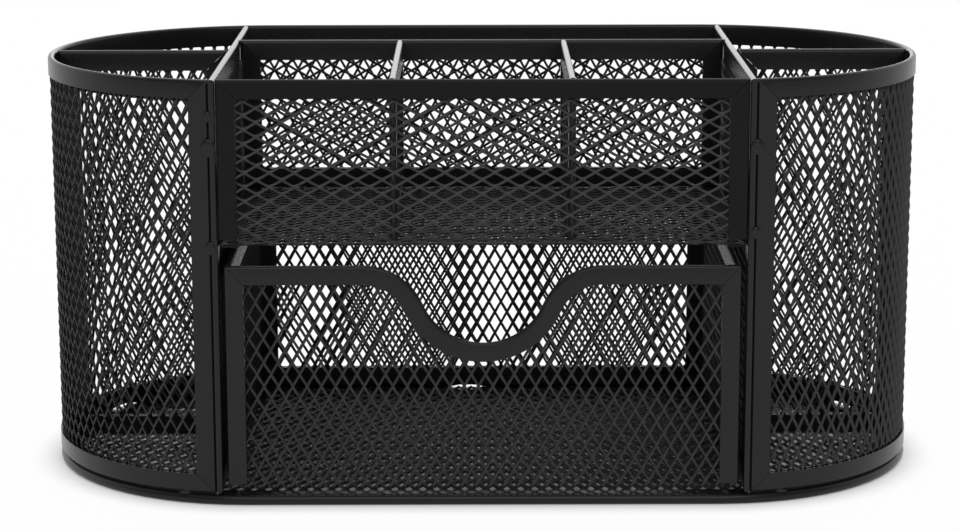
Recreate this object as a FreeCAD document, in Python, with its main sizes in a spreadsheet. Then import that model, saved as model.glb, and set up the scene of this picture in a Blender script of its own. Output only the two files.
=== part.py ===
import FreeCAD, Part
import math
import os

import Sketcher

Vector = FreeCAD.Vector
doc = FreeCAD.newDocument("PenStand")

# Driving sizes in millimetres. The front is -Y, up is +Z, and the origin is the middle of the underside.
SIZES = [
    ("overall_length", 210.0, "left to right over the top rim"),
    ("overall_depth", 100.0, "front to back; each end is half round"),
    ("overall_height", 100.0, "floor to the top of the rim"),
    ("sheet_thickness", 0.6, "expanded-metal sheet"),
    ("mesh_long_pitch", 5.7, "long way of one diamond, middle to middle"),
    ("mesh_short_pitch", 3.3, "short way of one diamond"),
    ("mesh_strand", 0.45, "width of one strand"),
    ("strip_height", 4.4, "folded edge strip, fold to lip"),
    ("strip_wall", 0.4, "steel of the folded strip"),
    ("strip_clearance", 0.1, "between the sheet and each wall of the fold"),
    ("seat_gap", 0.1, "between a flat panel's end and the curved wall that it is welded to"),
    ("base_rim_height", 3.0, "height of the rolled edge of the base"),
    ("base_rim_width", 4.4, "how far the rolled edge reaches in over the base mesh"),
    ("end_reach", 43.7, "from the end of the stand to the middle of the upright divider"),
    ("end_divider_offset", 1.0, "the end divider lies this far behind the middle"),
    ("front_setback", 0.4, "front panels behind the front edge of the base"),
    ("tray_height", 38.6, "top of the rim to the underside of the tray"),
    ("tray_reach", 68.4, "front face of the tray to the front of its back panel"),
    ("tray_side_gap", 0.1, "between the tray's strips and the dividers"),
    ("bend_radius", 1.2, "inside radius where a front sheet turns into a floor"),
    ("drawer_top_gap", 4.4, "underside of the tray to the top of the drawer"),
    ("drawer_side_gap", 1.2, "drawer to divider, each side"),
    ("drawer_bottom_gap", 0.4, "drawer to the base rim that it slides on"),
    ("drawer_rear_gap", 2.0, "back of the shut drawer to the wall"),
    ("notch_depth", 18.2, "finger notch, below the top of the drawer front"),
    ("notch_radius", 15.0, "each of the equal arcs that make the notch's wave"),
]
# One modelled opening stands for a block of real ones, with strands as much wider. A whole opening
# keeps the sheet's open share, but those that an edge cuts short are smaller or left out, so a panel
# is less open and heavier than its sheet. These are the real openings along a block's long way and
# along its short way.
FRONT_BLOCK_COUNTS = (5, 5)
PANEL_BLOCK_COUNTS = (9, 9)
WALL_BLOCK_COUNTS = (8, 9)
# Each round end's mesh comes in this many lengths, so that each length is nearly flat.
END_LENGTHS = 5
# An opening that a panel's edge cuts down to less than this share of a whole one is left out.
SMALLEST_OPENING_SHARE = 0.4
# The flat at the crown of each fold, as a share of the strip's thickness.
FOLD_FLAT_SHARE = 0.4

sizes_sheet = doc.addObject("Spreadsheet::Sheet", "Sizes")
for row, (alias, value, meaning) in enumerate(SIZES, start=1):
    sizes_sheet.set(f"A{row}", alias)
    sizes_sheet.set(f"B{row}", str(value))
    sizes_sheet.set(f"C{row}", meaning)
    sizes_sheet.setAlias(f"B{row}", alias)
layout_sheet = doc.addObject("Spreadsheet::Sheet", "Layout")
doc.recompute()


class Cells:
    """Reads a sheet's cells by their aliases."""

    def __init__(self, source):
        self.source = source

    def __getattr__(self, alias):
        return float(self.source.get(alias))


size = Cells(sizes_sheet)
laid = Cells(layout_sheet)
layout_aliases = []


def lay_out(alias, value):
    """Adds a size that follows from the driving sizes to the second sheet."""
    layout_aliases.append(alias)
    row = len(layout_aliases)
    layout_sheet.set(f"A{row}", alias)
    layout_sheet.set(f"B{row}", repr(value))
    layout_sheet.setAlias(f"B{row}", alias)
    layout_sheet.recompute()


# Local frames of the panels

X = Vector(1, 0, 0)
Y = Vector(0, 1, 0)
Z = Vector(0, 0, 1)


def frame(right, up, origin):
    """The placement whose local X and Y point along right and up."""
    out = right.cross(up)
    return FreeCAD.Placement(
        FreeCAD.Matrix(
            right.x, up.x, out.x, origin.x,
            right.y, up.y, out.y, origin.y,
            right.z, up.z, out.z, origin.z,
        )
    )


def across(x, y, z):
    """A panel that faces the front: local X to the right, local Y up."""
    return frame(X, Z, Vector(x, y, z))


def along(x, y, z):
    """A panel that faces the side: local X to the back, local Y up."""
    return frame(Y, Z, Vector(x, y, z))


def flat(x, y, z):
    """A panel that lies flat: local X to the right, local Y to the back."""
    return frame(X, Y, Vector(x, y, z))


# Sketches

def polyline(*points):
    """Straight edges from point to point; each point is a pair."""
    corners = [Vector(px, py, 0) for px, py in points]
    return [Part.LineSegment(a, b) for a, b in zip(corners, corners[1:])]


def arc(start, middle, end):
    """An arc through three points; each point is a pair."""
    return Part.Arc(Vector(*start, 0), Vector(*middle, 0), Vector(*end, 0))


def draw(sketch, edges):
    """Adds the edges and ties touching ends together; level and upright lines stay so."""
    for i, edge in enumerate(edges):
        sketch.addGeometry(edge)
        if isinstance(edge, Part.LineSegment):
            run = edge.EndPoint - edge.StartPoint
            if abs(run.y) < abs(run.x) * 1e-9:
                sketch.addConstraint(Sketcher.Constraint("Horizontal", i))
            elif abs(run.x) < abs(run.y) * 1e-9:
                sketch.addConstraint(Sketcher.Constraint("Vertical", i))
    for i in range(len(edges)):
        after = (i + 1) % len(edges)
        for here in (1, 2):
            for there in (1, 2):
                a = sketch.getPoint(i, here)
                b = sketch.getPoint(after, there)
                if i != after and (a - b).Length < edges[i].toShape().Length * 1e-6:
                    sketch.addConstraint(Sketcher.Constraint("Coincident", i, here, after, there))


def dimension(sketch, name, kind, references, cell):
    """Adds a named measure to the sketch and binds it to a cell."""
    sheet_name, alias = cell.split(".")
    value = float(doc.getObject(sheet_name).get(alias))
    sketch.addConstraint(Sketcher.Constraint(kind, *references, value))
    sketch.renameConstraint(sketch.ConstraintCount - 1, name)
    sketch.setExpression(f"Constraints.{name}", cell)


def loose_sketch(name, placement):
    """A sketch of the document's own, for a path or a section."""
    sketch = doc.addObject("Sketcher::SketchObject", name)
    sketch.Placement = placement
    return sketch


def body_with_sketch(name, role, offset):
    """A body and its first sketch, on one of the body's origin planes."""
    body = doc.addObject("PartDesign::Body", name)
    sketch = body.newObject("Sketcher::SketchObject", name + "_outline")
    plane = next(f for f in body.Origin.OriginFeatures if f.Role == role)
    sketch.AttachmentSupport = [(plane, "")]
    sketch.MapMode = "FlatFace"
    sketch.AttachmentOffset = FreeCAD.Placement(offset, FreeCAD.Rotation())
    return body, sketch


# Folded edge strips: sheet steel folded over the edge of a mesh and spot-welded

def strip_section(name, placement):
    """The fold's section with the slot that grips a flat sheet: local X runs from the fold to the lips."""
    half = laid.strip_thickness / 2
    slot = size.sheet_thickness / 2 + size.strip_clearance
    flat_half = half * FOLD_FLAT_SHARE
    ease = half - flat_half
    lip = size.strip_height
    sketch = loose_sketch(name, placement)
    draw(sketch, polyline(
        (lip, half), (ease, half), (0, flat_half), (0, -flat_half), (ease, -half), (lip, -half),
        (lip, -slot), (size.strip_wall, -slot), (size.strip_wall, slot), (lip, slot), (lip, half),
    ))
    dimension(sketch, "fold_to_lip", "DistanceX", (-1, 1, 0, 1), "Sizes.strip_height")
    dimension(sketch, "wall", "DistanceX", (-1, 1, 7, 1), "Sizes.strip_wall")
    dimension(sketch, "thickness", "DistanceY", (4, 1, 0, 2), "Layout.strip_thickness")
    return sketch


def closed_section(name, placement, height, thickness, height_cell, thickness_cell):
    """The section of a strip that is pressed shut: its lips meet the sheet's edge."""
    half = thickness / 2
    flat_half = half * FOLD_FLAT_SHARE
    ease = half - flat_half
    sketch = loose_sketch(name, placement)
    draw(sketch, polyline(
        (height, half), (ease, half), (0, flat_half), (0, -flat_half), (ease, -half), (height, -half),
        (height, half),
    ))
    dimension(sketch, "fold_to_lip", "DistanceX", (-1, 1, 0, 1), height_cell)
    dimension(sketch, "thickness", "DistanceY", (4, 2, 0, 1), thickness_cell)
    return sketch


def sweep(label, section, path):
    """A section carried along a path, with mitred corners."""
    strip = doc.addObject("Part::Sweep", label)
    strip.Sections = [section]
    strip.Spine = (path, [f"Edge{i + 1}" for i in range(len(path.Geometry))])
    strip.Solid = True
    strip.Frenet = False
    strip.Transition = "Right corner"
    strip.Label = label
    return strip


def rectangle_frame(label, placement, width, height, width_cell, height_cell):
    """A strip folded round all four edges of a panel that stands on local Y = 0."""
    path = loose_sketch(label + "_path", placement)
    draw(path, polyline(
        (0, 0), (width / 2, 0), (width / 2, height), (-width / 2, height), (-width / 2, 0), (0, 0),
    ))
    dimension(path, "width", "DistanceX", (2, 2, 2, 1), width_cell)
    dimension(path, "height", "DistanceY", (1, 1, 1, 2), height_cell)
    section = strip_section(label + "_section", placement * frame(Y, Z, Vector()))
    return sweep(label, section, path)


# Expanded metal

def clipped_diamonds(window, block, upright):
    """Faces of the openings inside a flat window, in rows that are offset by half a diamond."""
    long_half = size.mesh_long_pitch / 2
    short_half = size.mesh_short_pitch / 2
    to_side = long_half * short_half / math.hypot(long_half, short_half)
    open_share = 1 - size.mesh_strand / 2 / to_side
    long_half *= block[0]
    short_half *= block[1]
    half_x, half_y = (short_half, long_half) if upright else (long_half, short_half)
    # The blocks stretch or shrink a little, so that a whole number of them fills the window each way.
    box = window.BoundBox
    columns = 2 * max(1, round(box.XLength / 2 / half_x))
    rows = 2 * max(1, round(box.YLength / 2 / half_y))
    half_x = box.XLength / columns
    half_y = box.YLength / rows
    faces = []
    for column in range(columns + 1):
        for row in range(rows + 1):
            if (column + row) % 2 == 0:
                continue
            middle = Vector(box.XMin + column * half_x, box.YMin + row * half_y, 0)
            reach_x = Vector(half_x * open_share, 0, 0)
            reach_y = Vector(0, half_y * open_share, 0)
            corners = [middle - reach_x, middle - reach_y, middle + reach_x, middle + reach_y]
            faces.append(Part.Face(Part.makePolygon(corners + corners[:1])))
    whole = faces[0].Area
    cut = window.common(Part.makeCompound(faces))
    return [face for face in cut.Faces if face.Area > whole * SMALLEST_OPENING_SHARE]


def window_face(x_low, y_low, x_high, y_high):
    """A rectangular window in a panel's own plane."""
    corners = [Vector(x_low, y_low, 0), Vector(x_high, y_low, 0)]
    corners += [Vector(x_high, y_high, 0), Vector(x_low, y_high, 0)]
    return Part.Face(Part.makePolygon(corners + corners[:1]))


def through_cut(face, sag=0.0):
    """A prism over a face that cuts through a sheet, and through how far a curved sheet falls back."""
    reach = Vector(0, 0, size.sheet_thickness + sag)
    return face.translated(reach * -1).extrude(reach * 2)


def openings(name, window, placement, block, upright):
    """The prisms that cut a window's openings through a sheet on the panel's middle plane."""
    faces = clipped_diamonds(window, block, upright)
    prisms = [through_cut(face) for face in faces]
    cutter = doc.addObject("Part::Feature", name)
    cutter.Shape = Part.makeCompound(prisms)
    cutter.Placement = placement
    return cutter


def cut(label, base, tool):
    """The finished mesh: a sheet less its openings."""
    result = doc.addObject("Part::Cut", label)
    result.Base = base
    result.Tool = tool
    result.Label = label
    return result


def in_lengths(label, lengths):
    """One node made of solids that meet end to end."""
    whole = doc.addObject("Part::Compound", label)
    whole.Links = lengths
    whole.Label = label
    return whole


def mesh_panel(label, placement, width, height, width_cell, height_cell):
    """A flat mesh whose edges sit inside a rectangular frame of the given size."""
    inset = laid.sheet_inset
    blank = doc.addObject("Part::Box", label + "_sheet")
    blank.setExpression("Length", f"{width_cell} - 2 * Layout.sheet_inset")
    blank.setExpression("Width", f"{height_cell} - 2 * Layout.sheet_inset")
    blank.setExpression("Height", "Sizes.sheet_thickness")
    corner = Vector(inset - width / 2, inset, -size.sheet_thickness / 2)
    blank.Placement = placement * FreeCAD.Placement(corner, FreeCAD.Rotation())
    lip = size.strip_height
    window = window_face(lip - width / 2, lip, width / 2 - lip, height - lip)
    holes = openings(label + "_openings", window, placement, PANEL_BLOCK_COUNTS, True)
    return cut(label, blank, holes)


def framed_panel(mesh_label, frame_label, placement, width, height, width_cell, height_cell):
    """A mesh panel with a strip folded round its four edges: two nodes."""
    mesh = mesh_panel(mesh_label, placement, width, height, width_cell, height_cell)
    strip = rectangle_frame(frame_label, placement, width, height, width_cell, height_cell)
    return [mesh, strip]


nodes = []

# Shared places that follow from the driving sizes

lay_out("strip_thickness", size.sheet_thickness + 2 * (size.strip_clearance + size.strip_wall))
lay_out("sheet_inset", size.strip_wall + size.strip_clearance)
lay_out("end_radius", size.overall_depth / 2)
lay_out("end_centre", size.overall_length / 2 - laid.end_radius)
lay_out("wall_radius", laid.end_radius - laid.strip_thickness / 2)
lay_out("inner_radius", laid.end_radius - laid.strip_thickness)
lay_out("divider_x", size.overall_length / 2 - size.end_reach)
lay_out("front_plane", size.front_setback - laid.end_radius)
half_strip = laid.strip_thickness / 2


def wall_depth(x):
    """How far behind the middle the wall's inner face is at x, less the seat gap."""
    beyond = max(abs(x) - laid.end_centre, 0)
    return math.sqrt(laid.inner_radius ** 2 - beyond ** 2) - size.seat_gap


# Base: a flat mesh floor with a rolled edge all round, whose front is the drawer's sill

def stadium(radius):
    """The closed outline of the stand in plan, from the middle of its front."""
    c = laid.end_centre
    edges = polyline((0, -radius), (c, -radius))
    edges.append(arc((c, -radius), (c + radius, 0), (c, radius)))
    edges += polyline((c, radius), (-c, radius))
    edges.append(arc((-c, radius), (-c - radius, 0), (-c, -radius)))
    edges += polyline((-c, -radius), (0, -radius))
    return edges


base_middle = size.base_rim_height / 2
rim_path = loose_sketch("base_rim_path", flat(0, 0, base_middle))
draw(rim_path, stadium(laid.end_radius))
dimension(rim_path, "end_radius", "Radius", (1,), "Layout.end_radius")
rim_section = closed_section(
    "base_rim_section", frame(Y, Z, Vector(0, -laid.end_radius, base_middle)),
    size.base_rim_width, size.base_rim_height, "Sizes.base_rim_width", "Sizes.base_rim_height",
)
nodes.append(sweep("base_rim", rim_section, rim_path))

base_edge = laid.end_radius - size.base_rim_width - size.seat_gap
base_sheet_low = Vector(0, 0, base_middle - size.sheet_thickness / 2)
body, outline = body_with_sketch("base_sheet", "XY_Plane", base_sheet_low)
draw(outline, stadium(base_edge))
pad = body.newObject("PartDesign::Pad", "base_sheet_pad")
pad.Profile = outline
pad.setExpression("Length", "Sizes.sheet_thickness")
base_window = Part.Face(Part.Wire([e.toShape() for e in stadium(base_edge - size.mesh_strand)]))
base_holes = openings("base_openings", base_window, flat(0, 0, base_middle), PANEL_BLOCK_COUNTS, True)
nodes.append(cut("base_mesh", body, base_holes))

# Outer wall: mesh from the left post round the left end, the back and the right end. The strips on
# its long edges come in three lengths, which meet where the ends start to curve.

post_inner = laid.divider_x + half_strip + size.seat_gap
post_lean = max(post_inner - laid.end_centre, 0) * half_strip / laid.inner_radius
lay_out("post_x", post_inner + post_lean)
lay_out("wall_bottom", size.base_rim_height)
lay_out("wall_height", size.overall_height - laid.wall_bottom)


# The wall's front edge, measured along the wall from where its end starts to curve.
if laid.post_x < laid.end_centre:
    post_run = laid.post_x - laid.end_centre
else:
    post_run = math.asin((laid.post_x - laid.end_centre) / laid.wall_radius) * laid.wall_radius


def wall_spot(side, run, out):
    """The spot in plan so far along the wall and so far outside its middle, as a pair."""
    radius = laid.wall_radius + out
    if run <= 0:
        return side * (laid.end_centre + run), -radius
    angle = run / laid.wall_radius
    return side * (laid.end_centre + radius * math.sin(angle)), -radius * math.cos(angle)


half_turn = math.pi * laid.wall_radius


def wall_run(side, start, end, out):
    """The wall in plan, so far outside its middle: the whole back for side 0, or else part of an end."""
    if side == 0:
        radius = laid.wall_radius + out
        return polyline((-laid.end_centre, radius), (laid.end_centre, radius))
    edges = []
    if start < 0:
        edges += polyline(wall_spot(side, start, out), wall_spot(side, min(end, 0), out))
    if end > 0:
        low = max(start, 0)
        spots = [wall_spot(side, run, out) for run in (low, (low + end) / 2, end)]
        edges.append(arc(*spots))
    return edges


def wall_strip(label, side, height, down):
    """A strip folded over the top or the bottom edge of one length of the wall."""
    path = loose_sketch(label + "_path", flat(0, 0, height))
    edges = wall_run(side, post_run, half_turn, 0)
    draw(path, edges)
    start = edges[0].toShape().valueAt(edges[0].toShape().FirstParameter)
    ahead = edges[0].toShape().tangentAt(edges[0].toShape().FirstParameter)
    into = Vector(0, 0, -1 if down else 1)
    origin = Vector(start.x, start.y, height)
    section = closed_section(
        label + "_section", frame(into, ahead.cross(into), origin),
        size.strip_height, laid.strip_thickness, "Sizes.strip_height", "Layout.strip_thickness",
    )
    return sweep(label, section, path)


wall_low = laid.wall_bottom + size.strip_height
lay_out("wall_sheet_height", laid.wall_height - 2 * size.strip_height)


def ends_of(edges):
    """The first and last points of a run of edges, as pairs."""
    wire = Part.Wire([e.toShape() for e in edges])
    loose = [v.Point for v in wire.OrderedVertexes]
    return (loose[0].x, loose[0].y), (loose[-1].x, loose[-1].y)


def wall_blank(name, side, start=0.0, end=0.0):
    """One length of the wall before its openings are cut."""
    outside = wall_run(side, start, end, size.sheet_thickness / 2)
    inside = wall_run(side, start, end, -size.sheet_thickness / 2)
    outer_start, outer_end = ends_of(outside)
    inner_start, inner_end = ends_of(inside)
    body, outline = body_with_sketch(name, "XY_Plane", Vector(0, 0, wall_low))
    outside += polyline(outer_end, inner_end)
    draw(outline, outside + inside[::-1] + polyline(inner_start, outer_start))
    pad = body.newObject("PartDesign::Pad", name + "_pad")
    pad.Profile = outline
    pad.setExpression("Length", "Layout.wall_sheet_height")
    return body


# The wall's openings are drawn on the wall laid out flat, then wrapped onto it one by one.
half_back = laid.end_centre


def wrapped(run):
    """Placement on the wall of a spot that lies so far to the left of the middle of the back."""
    side = -math.copysign(1, run)
    beyond = abs(run) - half_back
    if beyond <= 0:
        return frame(X * -1, Z, Vector(-run, laid.wall_radius, 0))
    if beyond > half_turn:
        return frame(X, Z, Vector(side * (half_back + half_turn - beyond), -laid.wall_radius, 0))
    angle = beyond / laid.wall_radius
    out = Vector(side * math.sin(angle), math.cos(angle), 0)
    return frame(Z.cross(out), Z, Vector(side * half_back, 0, 0) + out * laid.wall_radius)


def wall_openings(name, low_run, high_run):
    """The prisms that cut the openings of one length of the wall."""
    margin = size.mesh_strand
    low = wall_low + margin
    high = wall_low + laid.wall_sheet_height - margin
    window = window_face(low_run + margin, low, high_run - margin, high)
    prisms = []
    for face in clipped_diamonds(window, WALL_BLOCK_COUNTS, upright=True):
        middle = face.BoundBox.Center.x
        sag = face.BoundBox.XLength ** 2 / (8 * laid.wall_radius)
        prism = through_cut(face.translated(Vector(-middle, 0, 0)), sag)
        prism.Placement = wrapped(middle) * prism.Placement
        prisms.append(prism)
    holes = doc.addObject("Part::Feature", name)
    holes.Shape = Part.makeCompound(prisms)
    return holes


open_run = half_turn - post_run - size.strip_height
holes = wall_openings("back_wall_openings", -half_back, half_back)
mesh_lengths = [cut("back_wall_length", wall_blank("back_wall_sheet", 0), holes)]
for side_name, side, low_run, high_run in (
    ("left", -1, half_back, half_back + open_run), ("right", 1, -half_back - open_run, -half_back),
):
    holes = wall_openings(side_name + "_wall_openings", low_run, high_run)
    seams = [half_turn - open_run * i / END_LENGTHS for i in range(END_LENGTHS)]
    seams.append(post_run + laid.sheet_inset)
    for i, (end, start) in enumerate(zip(seams, seams[1:]), start=1):
        blank = wall_blank(f"{side_name}_wall_sheet_{i}", side, start, end)
        mesh_lengths.append(cut(f"{side_name}_wall_length_{i}", blank, holes))
top_lengths = []
bottom_lengths = []
for side_name, side in (("left", -1), ("back", 0), ("right", 1)):
    top_lengths.append(wall_strip(side_name + "_top_length", side, size.overall_height, down=True))
    bottom_lengths.append(wall_strip(side_name + "_bottom_length", side, laid.wall_bottom, down=False))
nodes.append(in_lengths("wall_top_rim", top_lengths))
nodes.append(in_lengths("wall_bottom_strip", bottom_lengths))
nodes.append(in_lengths("outer_wall_mesh", mesh_lengths))

# Posts: the upright strips on the front edges of the wall, which follow its curve

def post_section(name, side, height):
    """The strip's section in plan, with its long edges bent to the wall's curve."""
    half = half_strip
    slot = size.sheet_thickness / 2 + size.strip_clearance
    flat_half = half * FOLD_FLAT_SHARE
    ease = half - flat_half
    lip = size.strip_height

    def spot(run, out):
        return wall_spot(side, post_run + run, out)

    def long_edge(run, end_run, out):
        if post_run + max(run, end_run) <= 0:
            return polyline(spot(run, out), spot(end_run, out))
        return [arc(spot(run, out), spot((run + end_run) / 2, out), spot(end_run, out))]

    edges = long_edge(lip, ease, half)
    edges += polyline(spot(ease, half), spot(0, flat_half), spot(0, -flat_half), spot(ease, -half))
    edges += long_edge(ease, lip, -half)
    edges += polyline(spot(lip, -half), spot(lip, -slot))
    edges += long_edge(lip, size.strip_wall, -slot)
    edges += polyline(spot(size.strip_wall, -slot), spot(size.strip_wall, slot))
    edges += long_edge(size.strip_wall, lip, slot)
    edges += polyline(spot(lip, slot), spot(lip, half))
    sketch = loose_sketch(name, flat(0, 0, height))
    draw(sketch, edges)
    return sketch


post_low = laid.wall_bottom + size.strip_height
lay_out("post_height", size.overall_height - size.strip_height - post_low)
for side_name, side in (("left", -1), ("right", 1)):
    label = side_name + "_post_strip"
    post = doc.addObject("Part::Extrusion", label)
    post.Base = post_section(label + "_section", side, post_low)
    post.DirMode = "Custom"
    post.Dir = Z
    post.setExpression("LengthFwd", "Layout.post_height")
    post.Solid = True
    post.Label = label
    nodes.append(post)

# Dividers between the ends and the middle, and one across each end

divider_rear = wall_depth(laid.divider_x + half_strip)
lay_out("panel_height", size.overall_height - size.base_rim_height)
lay_out("divider_length", divider_rear - laid.front_plane)
divider_middle = (divider_rear + laid.front_plane) / 2
end_inner = laid.divider_x + half_strip
offset = size.end_divider_offset
end_outer = laid.end_centre - size.seat_gap
end_outer += math.sqrt(laid.inner_radius ** 2 - (abs(offset) + half_strip) ** 2)
lay_out("end_divider_length", end_outer - end_inner)
for side_name, side in (("left", -1), ("right", 1)):
    nodes += framed_panel(
        side_name + "_divider_mesh", side_name + "_divider_frame",
        along(side * laid.divider_x, divider_middle, size.base_rim_height),
        laid.divider_length, laid.panel_height, "Layout.divider_length", "Layout.panel_height",
    )
    nodes += framed_panel(
        side_name + "_end_divider_mesh", side_name + "_end_divider_frame",
        across(side * (end_inner + end_outer) / 2, offset, size.base_rim_height),
        laid.end_divider_length, laid.panel_height, "Layout.end_divider_length", "Layout.panel_height",
    )


# Front sheets: the tray's and the drawer's, each bent back into its own floor. The floor is a solid
# of its own, which meets the front where the bend ends.

def bent_front(name, half_width_cell, top, bottom):
    """The blank of a front with the quarter bend at its foot."""
    thick = size.sheet_thickness
    inner = size.bend_radius
    outer = inner + thick
    face = laid.front_plane + laid.sheet_inset
    back = face + thick
    diagonal = math.cos(math.pi / 4)
    corner = (face + outer, bottom + outer)
    body, sketch = body_with_sketch(name, "YZ_Plane", Vector())
    edges = polyline((face, top), (face, corner[1]))
    edges.append(arc(
        (face, corner[1]),
        (corner[0] - outer * diagonal, corner[1] - outer * diagonal),
        (corner[0], bottom),
    ))
    edges += polyline((corner[0], bottom), (corner[0], bottom + thick))
    edges.append(arc(
        (corner[0], bottom + thick),
        (corner[0] - inner * diagonal, corner[1] - inner * diagonal),
        (back, corner[1]),
    ))
    edges += polyline((back, corner[1]), (back, top), (face, top))
    draw(sketch, edges)
    dimension(sketch, "inside_bend", "Radius", (3,), "Sizes.bend_radius")
    dimension(sketch, "thickness", "DistanceY", (2, 1, 2, 2), "Sizes.sheet_thickness")
    pad = body.newObject("PartDesign::Pad", name + "_pad")
    pad.Profile = sketch
    pad.SideType = "Symmetric"
    pad.setExpression("Length", f"2 * {half_width_cell}")
    return body


def flat_floor(name, half_width, half_width_cell, bottom, rear):
    """The blank of a floor from the end of its front's bend to the rear."""
    blank = doc.addObject("Part::Box", name)
    blank.setExpression("Length", f"2 * {half_width_cell}")
    blank.Width = rear - floor_front
    blank.setExpression("Height", "Sizes.sheet_thickness")
    blank.Placement.Base = Vector(-half_width, floor_front, bottom)
    return blank


lay_out("tray_floor", size.overall_height - size.tray_height)
lay_out("tray_half_width", laid.divider_x - half_strip - size.tray_side_gap)
lay_out("tray_sheet_half_width", laid.tray_half_width - laid.sheet_inset)
tray_rear = wall_depth(laid.tray_half_width)
bend_outer = size.bend_radius + size.sheet_thickness
front_middle = laid.front_plane + half_strip
floor_front = laid.front_plane + laid.sheet_inset + bend_outer
tray_front_blank = bent_front(
    "tray_front_sheet", "Layout.tray_sheet_half_width",
    size.overall_height - laid.sheet_inset, laid.tray_floor,
)
tray_floor_blank = flat_floor(
    "tray_floor_sheet", laid.tray_sheet_half_width, "Layout.tray_sheet_half_width",
    laid.tray_floor, tray_rear - laid.sheet_inset,
)
tray_inner = laid.tray_half_width - size.strip_height
tray_front_low = laid.tray_floor + bend_outer
front_window = window_face(-tray_inner, tray_front_low, tray_inner, size.overall_height - size.strip_height)
front_place = across(0, front_middle, 0)
front_holes = openings("tray_front_openings", front_window, front_place, FRONT_BLOCK_COUNTS, False)
floor_window = window_face(-tray_inner, floor_front, tray_inner, tray_rear - size.strip_height)
tray_floor_middle = laid.tray_floor + size.sheet_thickness / 2
floor_place = flat(0, 0, tray_floor_middle)
floor_holes = openings("tray_floor_openings", floor_window, floor_place, PANEL_BLOCK_COUNTS, False)
nodes.append(in_lengths("tray_mesh", [
    cut("tray_front", tray_front_blank, front_holes), cut("tray_floor_mesh", tray_floor_blank, floor_holes),
]))

path = loose_sketch("tray_front_strip_path", across(0, front_middle, 0))
draw(path, polyline(
    (-laid.tray_half_width, tray_front_low), (-laid.tray_half_width, size.overall_height),
    (laid.tray_half_width, size.overall_height), (laid.tray_half_width, tray_front_low),
))
start = Vector(-laid.tray_half_width, front_middle, tray_front_low)
section = strip_section("tray_front_strip_section", frame(X, Y * -1, start))
nodes.append(sweep("tray_front_strip", section, path))

path = loose_sketch("tray_floor_strip_path", flat(0, 0, tray_floor_middle))
draw(path, polyline(
    (-laid.tray_half_width, floor_front), (-laid.tray_half_width, tray_rear),
    (laid.tray_half_width, tray_rear), (laid.tray_half_width, floor_front),
))
start = Vector(-laid.tray_half_width, floor_front, tray_floor_middle)
section = strip_section("tray_floor_strip_section", frame(X, Z, start))
nodes.append(sweep("tray_floor_strip", section, path))

# Tray back panel, which stands on the floor's edge strips, and the two small dividers in front of it
tray_back_low = tray_floor_middle + half_strip
tray_back_front = laid.front_plane + size.tray_reach
lay_out("tray_width", 2 * laid.tray_half_width)
lay_out("tray_back_height", size.overall_height - tray_back_low)
nodes += framed_panel(
    "tray_back_mesh", "tray_back_frame", across(0, tray_back_front + half_strip, tray_back_low),
    laid.tray_width, laid.tray_back_height, "Layout.tray_width", "Layout.tray_back_height",
)
small_low = laid.tray_floor + size.sheet_thickness
lay_out("tray_divider_length", tray_back_front - floor_front)
lay_out("tray_divider_height", size.overall_height - small_low)
for side_name, side in (("left", -1), ("right", 1)):
    nodes += framed_panel(
        side_name + "_tray_divider_mesh", side_name + "_tray_divider_frame",
        along(side * laid.divider_x / 3, (tray_back_front + floor_front) / 2, small_low),
        laid.tray_divider_length, laid.tray_divider_height,
        "Layout.tray_divider_length", "Layout.tray_divider_height",
    )

# Drawer: a bent front and floor, two sides and a back, with a wave-shaped finger notch

lay_out("drawer_bottom", size.base_rim_height + size.drawer_bottom_gap)
lay_out("drawer_top", laid.tray_floor - size.drawer_top_gap)
lay_out("drawer_half_width", laid.divider_x - half_strip - size.drawer_side_gap)
lay_out("drawer_sheet_half_width", laid.drawer_half_width - laid.sheet_inset)
drawer_rear = wall_depth(laid.drawer_half_width) + size.seat_gap - size.drawer_rear_gap
drawer_floor_top = laid.drawer_bottom + size.sheet_thickness


def wave(inset, top):
    """The wavy top edge from left to right, moved down into the panel by an inset."""
    upper = size.notch_radius - inset
    lower = size.notch_radius + inset
    turn = math.acos(1 - size.notch_depth / 2 / size.notch_radius)
    reach = 2 * size.notch_radius * math.sin(turn)
    crest = top - size.notch_radius
    dip = top - size.notch_depth + size.notch_radius
    meet_x = reach - upper * math.sin(turn)
    meet_z = crest + upper * math.cos(turn)
    half_x = upper * math.sin(turn / 2)
    half_z = upper * math.cos(turn / 2)
    return [
        arc((-reach, crest + upper), (-reach + half_x, crest + half_z), (-meet_x, meet_z)),
        arc((-meet_x, meet_z), (0, dip - lower), (meet_x, meet_z)),
        arc((meet_x, meet_z), (reach - half_x, crest + half_z), (reach, crest + upper)),
    ], reach, crest + upper


drawer_front_blank = bent_front(
    "drawer_front_sheet", "Layout.drawer_sheet_half_width",
    laid.drawer_top - laid.sheet_inset, laid.drawer_bottom,
)
drawer_floor_blank = flat_floor(
    "drawer_floor_sheet", laid.drawer_sheet_half_width, "Layout.drawer_sheet_half_width",
    laid.drawer_bottom, drawer_rear - laid.sheet_inset,
)
notch_arcs, notch_reach, notch_top = wave(laid.sheet_inset, laid.drawer_top)
notch_sketch = drawer_front_blank.newObject("Sketcher::SketchObject", "drawer_notch_outline")
plane = next(f for f in drawer_front_blank.Origin.OriginFeatures if f.Role == "XZ_Plane")
notch_sketch.AttachmentSupport = [(plane, "")]
notch_sketch.MapMode = "FlatFace"
draw(notch_sketch, notch_arcs + polyline(
    (notch_reach, notch_top), (notch_reach, laid.drawer_top), (-notch_reach, laid.drawer_top),
    (-notch_reach, notch_top),
))
doc.recompute()
notch = drawer_front_blank.newObject("PartDesign::Pocket", "drawer_notch")
notch.Profile = notch_sketch
notch.Type = "ThroughAll"
notch.SideType = "Symmetric"

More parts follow.
